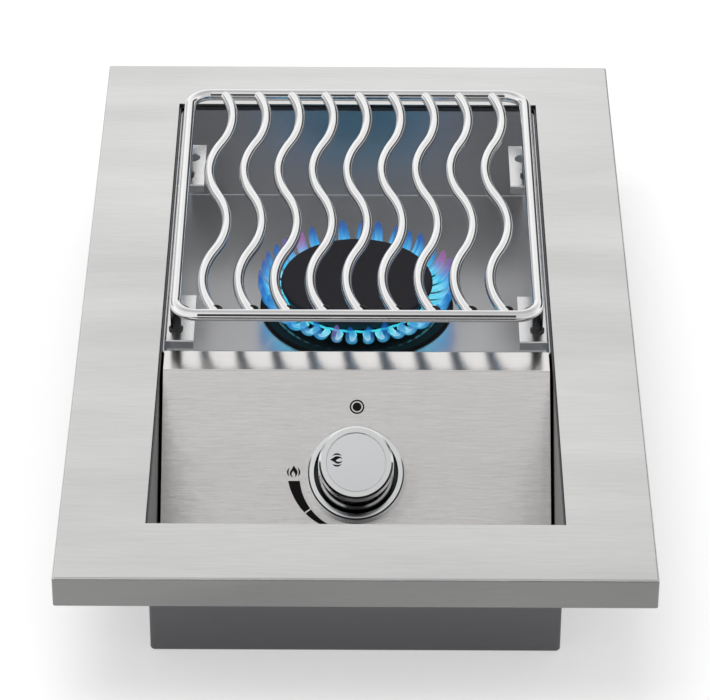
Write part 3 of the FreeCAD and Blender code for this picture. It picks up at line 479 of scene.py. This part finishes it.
def printed_shape(name, outlines):
    """A thin printed mark: closed outlines on a flat curve, made a mesh.

    A point of three numbers is a corner, and one of two is smooth."""
    deselect()
    drawing = bpy.data.curves.new(name, "CURVE")
    drawing.dimensions = "2D"
    drawing.fill_mode = "BOTH"
    drawing.extrude = INK_DEPTH / 2
    drawing.resolution_u = 8
    for points in outlines:
        spline = drawing.splines.new("BEZIER")
        spline.bezier_points.add(len(points) - 1)
        for knot, point in zip(spline.bezier_points, points):
            knot.co = (point[0], point[1], 0)
            handle = "VECTOR" if len(point) > 2 else "AUTO"
            knot.handle_left_type = knot.handle_right_type = handle
        spline.use_cyclic_u = True
    piece = bpy.data.objects.new(name, drawing)
    bpy.context.scene.collection.objects.link(piece)
    piece.select_set(True)
    bpy.context.view_layer.objects.active = piece
    bpy.ops.object.convert(target="MESH")
    piece = bpy.context.object
    piece.data.transform(Matrix.Translation((0, 0, INK_DEPTH / 2)))
    return piece


def circle(radius, centre, count=16):
    """Points round a circle, for a smooth outline."""
    turns = [2 * math.pi * i / count for i in range(count)]
    return [(centre[0] + radius * math.cos(t), centre[1] + radius * math.sin(t)) for t in turns]


def flame_mark(centre, quarter_turn=False):
    """The usual sign for a high flame, a flame between two crescents, drawn in millimetres."""
    body = [
        (0.1, 4.1, 1), (1.3, 2.3), (2.4, 0.3), (2.1, -2.0), (0.7, -3.8, 1),
        (1.1, -2.0), (0.5, -0.6), (-0.4, 0.6, 1), (-1.2, -1.0), (-1.0, -2.6), (-0.4, -3.9, 1),
        (-2.0, -2.4), (-2.4, -0.4), (-1.3, 1.6),
    ]
    crescent = [
        (2.5, 2.9, 1), (3.8, 1.5), (4.3, -0.2), (3.8, -1.9),
        (2.65, -3.2, 1), (3.1, -1.6), (3.2, 0.0), (3.0, 1.5),
    ]
    mirrored = [(-p[0], *p[1:]) for p in crescent[::-1]]

    def placed(point):
        x, y = (-point[1], point[0]) if quarter_turn else point[:2]
        return (centre[0] * MM + x * MM, centre[1] * MM + y * MM, *point[2:])

    return [[placed(p) for p in outline] for outline in (body, crescent, mirrored)]


def heat_scale():
    """The tapering band round the bezel, from high flame to low, with a thin gap across it."""
    def edge(radius, turn):
        return (radius * math.cos(turn) * MM, radius * math.sin(turn) * MM)

    def outer_radius(turn):
        radius = SCALE_WIDEST - SCALE_TAPER * (math.degrees(turn) - SCALE_START)
        return max(SCALE_THINNEST, radius)

    def cornered(points):
        ends = (0, SCALE_STEPS)
        return [(*p, 1) if i in ends else p for i, p in enumerate(points)]

    outlines = []
    for part, (start, end) in enumerate(SCALE_PARTS):
        steps = range(SCALE_STEPS + 1)
        turns = [math.radians(start + (end - start) * i / SCALE_STEPS) for i in steps]
        outer = [edge(outer_radius(t), t) for t in turns]
        inner = [edge(SCALE_INSIDE, t) for t in turns]
        if part == 0:
            outer[0] = (outer[0][0], SCALE_FLAT_END * MM)
            inner[0] = (inner[0][0], SCALE_FLAT_END * MM)
        outlines.append(cornered(outer) + cornered(inner)[::-1])
    return outlines


def make_marks():
    """The print on the panel, and the mark on the knob's face that turns with it."""
    ink = Finish("printed_black", Specular_IOR_Level=0.12)
    grain = ink.noise(ink.place(), fineness=1800.0)
    ink.tinted(swing(grain, 0.8) + 1.0, (0.008, 0.007, 0.008))
    ink.set("Roughness", swing(grain, 0.2) + 0.7)
    ink.bumped(grain, depth=0.000005)
    off = (OFF_PLACE[0] * MM, OFF_PLACE[1] * MM)
    drawings = {
        "off_ring": [circle(OFF_RING * MM, off), circle(OFF_HOLE * MM, off)],
        "off_dot": [circle(OFF_DOT * MM, off)],
        "high_mark": flame_mark(HIGH_PLACE),
        "heat_scale": heat_scale(),
    }
    for name, outlines in drawings.items():
        piece = settled(printed_shape(name, outlines), on_panel(INK_GAP))
        finished(piece, ink, "burner_unit")
    drawing = printed_shape("knob_mark", flame_mark(KNOB_MARK_PLACE, quarter_turn=True))
    finished(settled(drawing, on_panel(KNOB_TOP)), ink, "knob")


def petal(name, width, share, lean):
    """One flame: a closed drop that leaves its port level, swells, and turns up towards its tip.

    Its middle line runs from the port to the tip, or over the first share of that way."""
    deselect()
    bpy.ops.mesh.primitive_uv_sphere_add(segments=12, ring_count=14, radius=1.0)
    piece = started(name)
    piece.matrix_world = Matrix.Identity(4)
    out, up = FLAME_BELLY - FLAME_ROOT, FLAME_TIP - FLAME_BELLY
    for vertex in piece.data.vertices:
        t = (vertex.co.z + 1) / 2
        around = math.atan2(vertex.co.y, vertex.co.x)
        s = t * share
        middle = FLAME_ROOT * (1 - s) ** 2 + FLAME_BELLY * 2 * s * (1 - s) + FLAME_TIP * s ** 2
        way = (out * (1 - s) + up * s).normalized()
        radius = width / 2 * min(1.0, t / FLAME_OPENING) ** 0.5  # opens from its port
        if share < 1:
            radius *= (1 - t) ** 0.8  # a plain cone
        else:
            radius *= 0.55 + 0.45 * min(1.0, t / FLAME_WIDEST)  # swells to its widest
            beyond = max(0.0, (t - FLAME_WIDEST) / FLAME_TAPER)
            radius *= max(0.0, 1 - beyond ** 3.0) ** 0.55  # and closes to its tip
        off = FLAME_FLATNESS * radius * math.sin(around)
        vertex.co = (
            (middle.x - way.y * off) * MM,
            (radius * math.cos(around) + lean * s ** 2) * MM,
            (middle.y + way.x * off) * MM,
        )
    return piece


def flow_along(piece, count, turns):
    """Stores at every point of the joined flames its place across and along its own flame, the
    flame's number, and how rosy it burns."""
    size = len(piece.data.vertices) // count
    flow, warmth = [], []
    for i, vertex in enumerate(piece.data.vertices):
        turn, warm = turns[i // size]
        local = Matrix.Rotation(-turn, 4, "Z") @ (vertex.co - Vector((0, BURNER_Y, 0)))
        outwards = (local.x / MM - FLAME_ROOT.x) / FLAME_REACH * 0.6
        upwards = (local.z / MM - FLAME_ROOT.y) / FLAME_RISE * 0.4
        flow.extend((local.y / MM / 4, max(0.0, min(1.0, outwards + upwards)), i // size))
        warmth.append(warm)
    layer = piece.data.attributes.new("flow", "FLOAT_VECTOR", "POINT")
    layer.data.foreach_set("vector", flow)
    layer = piece.data.attributes.new("warm", "FLOAT", "POINT")
    layer.data.foreach_set("value", warmth)


def make_flames():
    """Two shells for each port: the wide blue flame and the bright cone inside it."""
    shells = (("flames_outer", flame_gas(), 1.0), ("flames_inner", flame_cone(), CONE_SHARE))
    for name, finish, share in shells:
        rng = random.Random(FLAME_SEED)
        copies, turns = [], []
        for i in range(PORT_COUNT):
            port_turn = (i + 0.5) * 360 / PORT_COUNT + FIRST_PORT
            turn = math.radians(port_turn + rng.uniform(*PORT_SCATTER))
            width = rng.uniform(*FLAME_WIDTHS)
            lean = rng.uniform(*FLAME_LEANS)
            stretch = rng.uniform(*FLAME_STRETCHES)
            piece = petal(f"{name}_{i}", width if share == 1 else width * CONE_WIDTH, share, lean)
            taller = Matrix.Diagonal((1, 1, stretch, 1))
            level = Matrix.Translation((0, 0, FLAME_ROOT.y * MM))
            matrix = Matrix.Translation((0, BURNER_Y, 0)) @ Matrix.Rotation(turn, 4, "Z")
            piece.data.transform(matrix @ level @ taller @ level.inverted())
            copies.append(piece)
            turns.append((turn, WARM_PORTS.get(i, 0.0)))
        piece = joined_copies(name, copies)
        bpy.ops.object.shade_smooth()
        flow_along(piece, PORT_COUNT, turns)
        finished(piece, finish, "burner_unit")
    make_flame_ring()


def make_flame_ring():
    """The thin line of flame that joins the roots along the ports."""
    deselect()
    bpy.ops.mesh.primitive_torus_add(
        major_segments=144, minor_segments=8, major_radius=RING_RADIUS,
        minor_radius=RING_THICKNESS, location=(0, BURNER_Y, RING_HEIGHT),
    )
    piece = started("flame_ring")
    settled(piece, Matrix.Identity(4))
    for vertex in piece.data.vertices:
        turn = math.atan2(vertex.co.y - BURNER_Y, vertex.co.x)
        vertex.co.z += RING_RIPPLE * math.cos(PORT_COUNT * turn)
    bpy.ops.object.shade_smooth()
    gas = glowing("flame_roots")
    flicker = gas.noise(gas.place(), fineness=160.0)
    gas.set("Emission Color", gas.mixed(flicker, (0.0, 0.40, 0.70, 1), (0.10, 0.85, 0.95, 1)))
    gas.set("Alpha", gas.between(flicker, 0.2, 0.7, 0.7, 0.95))
    finished(piece, gas, "burner_unit")


def glowing(name):
    """A finish that only glows, with no colour or shine under its light."""
    black = (0, 0, 0, 1)
    return Finish(
        name, Base_Color=black, Roughness=1.0, Specular_IOR_Level=0.0, Emission_Strength=1.0
    )


def flame_gas():
    """Burning gas: blue, clearer at its skin and tip, greener towards the port."""
    gas = glowing("flame_blue")
    side, along, count = gas.axes(gas.stored("flow", "Vector"))
    warm = gas.stored("warm", "Fac")
    streak = gas.noise(gas.joined(side * 2.4, along * 1.3, count * 3.7))
    blue = gas.shades(
        along,
        (0.0, (0.02, 0.66, 0.82)),
        (0.3, (0.02, 0.56, 0.90)),
        (0.5, (0.01, 0.32, 0.78)),
        (0.75, (0.01, 0.14, 0.52)),
        (1.0, (0.01, 0.07, 0.34)),
    )
    light = gas.between(streak, 0.38, 0.66) * gas.between(along, 0.8, 0.25)
    lit = gas.mixed(light, blue, (0.30, 0.80, 1.0, 1))
    rose = gas.between(along, 0.35, 0.7) * warm
    gas.set("Emission Color", gas.mixed(rose, lit, (0.52, 0.13, 0.36, 1)))
    facing = 1.0 - gas.add("LayerWeight", inputs={"Blend": 0.5}, output="Facing")
    tip = gas.between(along, 1.0, 0.45)
    gas.set("Alpha", gas.between(facing, 0.0, 0.75) * (tip * 0.4 + 0.34))
    return gas


def flame_cone():
    """The inner cone: clear in the middle and near white where its skin is seen edge-on."""
    gas = glowing("flame_cone")
    side, along, count = gas.axes(gas.stored("flow", "Vector"))
    waver = gas.noise(gas.joined(side * 1.5, along * 4.0, count * 2.3))
    colour = gas.shades(
        along,
        (0.0, (0.15, 0.90, 0.98)),
        (0.35, (0.62, 0.97, 1.0)),
        (0.6, (0.40, 0.80, 1.0)),
    )
    gas.set("Emission Color", colour)
    edge = gas.add("LayerWeight", inputs={"Blend": 0.5}, output="Facing")
    gas.set("Alpha", (edge ** 2.2 * 1.4 + 0.1) * gas.between(waver, 0.2, 0.6, 0.7, 1.0))
    return gas


def make_welds():
    """A dark tack of weld beside each rod's front end, where it meets the rail."""
    weld = Finish("weld_dark", Metallic=0.9)
    scale = weld.noise(weld.place(), fineness=900.0, detail=3.0, roughness=0.7)
    bead = weld.between(scale, 0.58, 0.72)
    weld.tinted(bead * 14.0 + 1.0, (0.02, 0.019, 0.019))
    weld.set("Roughness", swing(scale, 0.3) + 0.34)
    weld.bumped(scale, depth=0.0005)
    copies = []
    for i in range(1, ROD_COUNT + 1):
        rod = [v.co for v in nodes[f"grate_rod_{i}"].data.vertices]
        front = min(p.y for p in rod)
        near = [p.x for p in rod if p.y < front + ROD_END * MM]
        x = (min(near) + max(near)) / 2
        deselect()
        bpy.ops.mesh.primitive_ico_sphere_add(subdivisions=4, radius=1.0)
        piece = started(f"weld_{i}")
        for vertex in piece.data.vertices:
            across, back, up = vertex.co
            ripple = 1 + 0.07 * math.sin(9 * across + 2 + i) * math.cos(7 * back + i)
            vertex.co = (
                across * WELD_HALF[0] * MM * ripple,
                back * WELD_HALF[1] * MM * ripple,
                up * WELD_HALF[2] * MM,
            )
        bpy.ops.object.shade_smooth()
        place = (x + WELD_RIGHT * MM, front + WELD_BACK * MM, WELD_HEIGHT * MM)
        copies.append(settled(piece, Matrix.Translation(place)))
    finished(joined_copies("rod_welds", copies), weld, "grate")


def make_camera():
    """The camera at the photograph's viewing angle."""
    lens = bpy.data.cameras.new("camera")
    lens.sensor_width = SENSOR_WIDTH
    lens.lens = FOCAL_PIXELS * SENSOR_WIDTH / PICTURE_WIDTH
    camera = bpy.data.objects.new("camera", lens)
    bpy.context.scene.collection.objects.link(camera)
    yaw = Matrix.Rotation(math.radians(CAMERA_YAW), 4, "Z")
    pitch = Matrix.Rotation(math.radians(90 - CAMERA_DIP), 4, "X")
    roll = Matrix.Rotation(math.radians(CAMERA_ROLL), 4, "Z")
    camera.matrix_world = Matrix.Translation(CAMERA_PLACE) @ yaw @ pitch @ roll
    bpy.context.scene.camera = camera


def make_overhead_lamp():
    """One wide soft lamp, which metal doesn't mirror."""
    light = bpy.data.lights.new("overhead", "AREA")
    light.shape = "SQUARE"
    light.size = LAMP_WIDTH
    light.energy = LAMP_POWER
    lamp = bpy.data.objects.new("overhead", light)
    bpy.context.scene.collection.objects.link(lamp)
    towards_object = (-LAMP_PLACE).to_track_quat("-Z", "Y").to_matrix().to_4x4()
    lamp.matrix_world = Matrix.Translation(LAMP_PLACE) @ towards_object
    lamp.visible_camera = False
    lamp.visible_glossy = False


def card(name, level, low, high):
    """A dark card of the studio, behind the camera, seen only in reflections.

    Its low and high edges are each given as (y, z)."""
    deselect()
    bpy.ops.mesh.primitive_plane_add(size=2.0)
    piece = started(name)
    piece.matrix_world = Matrix.Identity(4)
    corners = [(x, *edge) for edge in (low, high) for x in (-CARD_HALF_WIDTH, CARD_HALF_WIDTH)]
    for vertex, corner in zip(piece.data.vertices, corners):
        vertex.co = corner
    grey = (level, level, level, 1)
    felt = Finish(name, Roughness=0.9, Specular_IOR_Level=0.1, Base_Color=grey)
    piece.data.materials.append(felt.material)
    piece.visible_camera = False
    piece.visible_diffuse = False
    piece.visible_shadow = False
    piece.visible_transmission = False


def make_room():
    """A pale room, white to the camera and a little dimmer as the light that falls on the object.

    Metal sees it white behind and low down, greyer overhead and in front, and with a dark flag low
    behind on each side."""
    world = bpy.data.worlds.new("studio")
    bpy.context.scene.world = world
    world.use_nodes = True
    room = Nodes(world.node_tree)
    x, y, z = room.axes(room.add("TexCoord", output="Generated"))
    upwards = room.between(z, *LOW_TO_OVERHEAD, 1.0, OVERHEAD_LEVEL)
    level = upwards * room.between(x, *LEFT_TO_RIGHT, 1.0, RIGHT_LEVEL)
    front = room.between(y, *SIDE_TO_FRONT)
    front_level = room.between(x, *FRONT_LEFT_TO_RIGHT, FRONT_LEFT_LEVEL, FRONT_RIGHT_LEVEL)
    level = level * (1.0 - front) + front * front_level
    behind = room.between(y, *SIDE_TO_BEHIND)
    right = behind * room.between(x, *RIGHT_FLAG_SIDE) * room.between(z, *RIGHT_FLAG_TOP)
    left = behind * room.between(x, *LEFT_FLAG_SIDE) * room.between(z, *LEFT_FLAG_TOP)
    level = level * (1.0 - right * RIGHT_FLAG) * (1.0 - left * LEFT_FLAG)
    seen = room.add("LightPath")
    mirror = seen.part("Is Glossy Ray")
    white = seen.part("Is Camera Ray").most(seen.part("Is Transmission Ray"))
    plain = room.between(white, 0.0, 1.0, ROOM_LIGHT, 1.0)
    background = world.node_tree.nodes["Background"]
    room.put(plain * (1.0 - mirror) + level * mirror, background.inputs["Strength"])
    background.inputs["Color"].default_value = (1, 1, 1, 1)


def make_floor():
    """White paper that keeps the object's shadow: it glows for the camera, metal and glass."""
    deselect()
    bpy.ops.mesh.primitive_grid_add(x_subdivisions=8, y_subdivisions=8, size=30.0)
    floor = started("floor")
    paper = Finish("floor_paper", Roughness=0.9, Specular_IOR_Level=0.0, Emission_Strength=1.0)
    fibre = paper.noise(paper.place(), fineness=40.0, detail=3.0)
    paper.tinted(fibre * 0.01 + 0.995, FLOOR_COLOUR)
    seen = paper.add("LightPath")
    white = seen.part("Is Camera Ray").most(seen.part("Is Glossy Ray"))
    glow = white.most(seen.part("Is Transmission Ray")) * FLOOR_GLOW
    paper.set("Emission Color", paper.joined(glow, glow, glow))
    floor.data.materials.append(paper.material)


def make_stage():
    make_room()
    make_floor()
    make_overhead_lamp()
    card("camera_side_card", level=0.05, low=CARD_FOOT, high=CARD_BEND)
    card("upper_front_card", level=0.16, low=CARD_BEND, high=CARD_TOP)


def dress_sheets():
    """The brushed sheet: trim, box, basin, panel and brackets."""
    # The trim's turned-down sides are darkened to about a third, as painted shade for their darker
    # reflections.
    trim = brushed_sheet(
        "trim_steel", (0.75, 0.75, 0.742), 0.22, streaks=0.08, clouds=0.25, edge=0.0004, side_shade=0.3
    )
    give(trim, "trim_frame")
    # The box's steel is set to a near-black grey: painted shade for the shade and dark reflections
    # on its front under the trim's overhang.
    give(brushed_sheet("housing_sheet", (0.125, 0.125, 0.131), 0.35), "housing_box")
    give(brushed_sheet("tray_steel", (0.64, 0.64, 0.65), 0.30, grain=0.000003), "burner_tray")
    panel = brushed_sheet(
        "panel_steel", (0.81, 0.79, 0.775), 0.14,
        grain=0.00005, streaks=0.08, clouds=0.12, fall=0.16,
    )
    give(panel, "control_panel")
    give(brushed_sheet("bracket_steel", (0.86, 0.86, 0.86), 0.15), *named("bracket_"))


def dress_grate_and_burner():
    give(polished_bar("grate_steel", 0.93), "grate_frame", *named("grate_rod_"))
    give(polished_bar("leg_steel", 0.07, 0.3), *named("grate_leg_"))
    give(enamel("ring_enamel", (0.006, 0.006, 0.006), 0.5, shine=0.15), "drip_ring")
    bowl = enamel("bowl_enamel", (0.014, 0.014, 0.016), 0.2, gloss=1.0, shine=0.8)
    give(bowl, "burner_bowl")
    give(enamel("cap_enamel", (0.027, 0.026, 0.031), 0.7, shine=0.15), "burner_cap")
    give(cast_metal("head_casting", (0.05, 0.05, 0.05), 0.5), "burner_head")


def dress_inside():
    """The valve, pipes, spark unit and fasteners."""
    give(turned_metal("screw_steel", (0.62, 0.62, 0.63), 0.25), *named("screw"))
    stem = turned_metal("stem_steel", (0.6, 0.6, 0.61), 0.2)
    give(stem, "valve_stem", "stem_spring", "spark_electrode")
    give(cast_metal("valve_casting", (0.45, 0.46, 0.47), 0.45), "gas_valve_body")
    zinc = turned_metal("zinc_sheet", (0.55, 0.56, 0.57), 0.35)
    give(zinc, "valve_bonnet", "burner_pedestal", "pipe_clip")
    tube = turned_metal("tube_aluminium", (0.60, 0.60, 0.61), 0.35)
    give(tube, "mixing_tube", "inlet_pipe", "outlet_elbow")
    brass = turned_metal("brass", (0.62, 0.42, 0.14), 0.3)
    give(brass, "gas_orifice", "inlet_fitting", "inlet_locknut", "valve_plug")
    give(moulded("spark_plastic", (0.02, 0.02, 0.02), 0.5), "piezo_igniter")
    give(moulded("lead_rubber", (0.02, 0.02, 0.02), 0.6), "igniter_lead")
    give(moulded("ceramic", (0.78, 0.76, 0.70), 0.2), "electrode_insulator")


def dress_knob():
    give(chrome("bezel_chrome", (0.86, 0.88, 0.89), 0.12, black_well), "knob_bezel")
    # The knob's recessed side is blackened: a painted reflection of the dark gap round it.
    give(chrome("knob_chrome", (0.82, 0.83, 0.825), 0.10, painted_grip_reflection), "knob_body")
    give(chrome("knob_face", (0.95, 0.96, 0.985), 0.24), "knob_disc")


make_camera()
bpy.context.scene.view_settings.view_transform = "Standard"
make_stage()
dress_sheets()
dress_grate_and_burner()
dress_inside()
dress_knob()
make_marks()
make_welds()
make_flames()
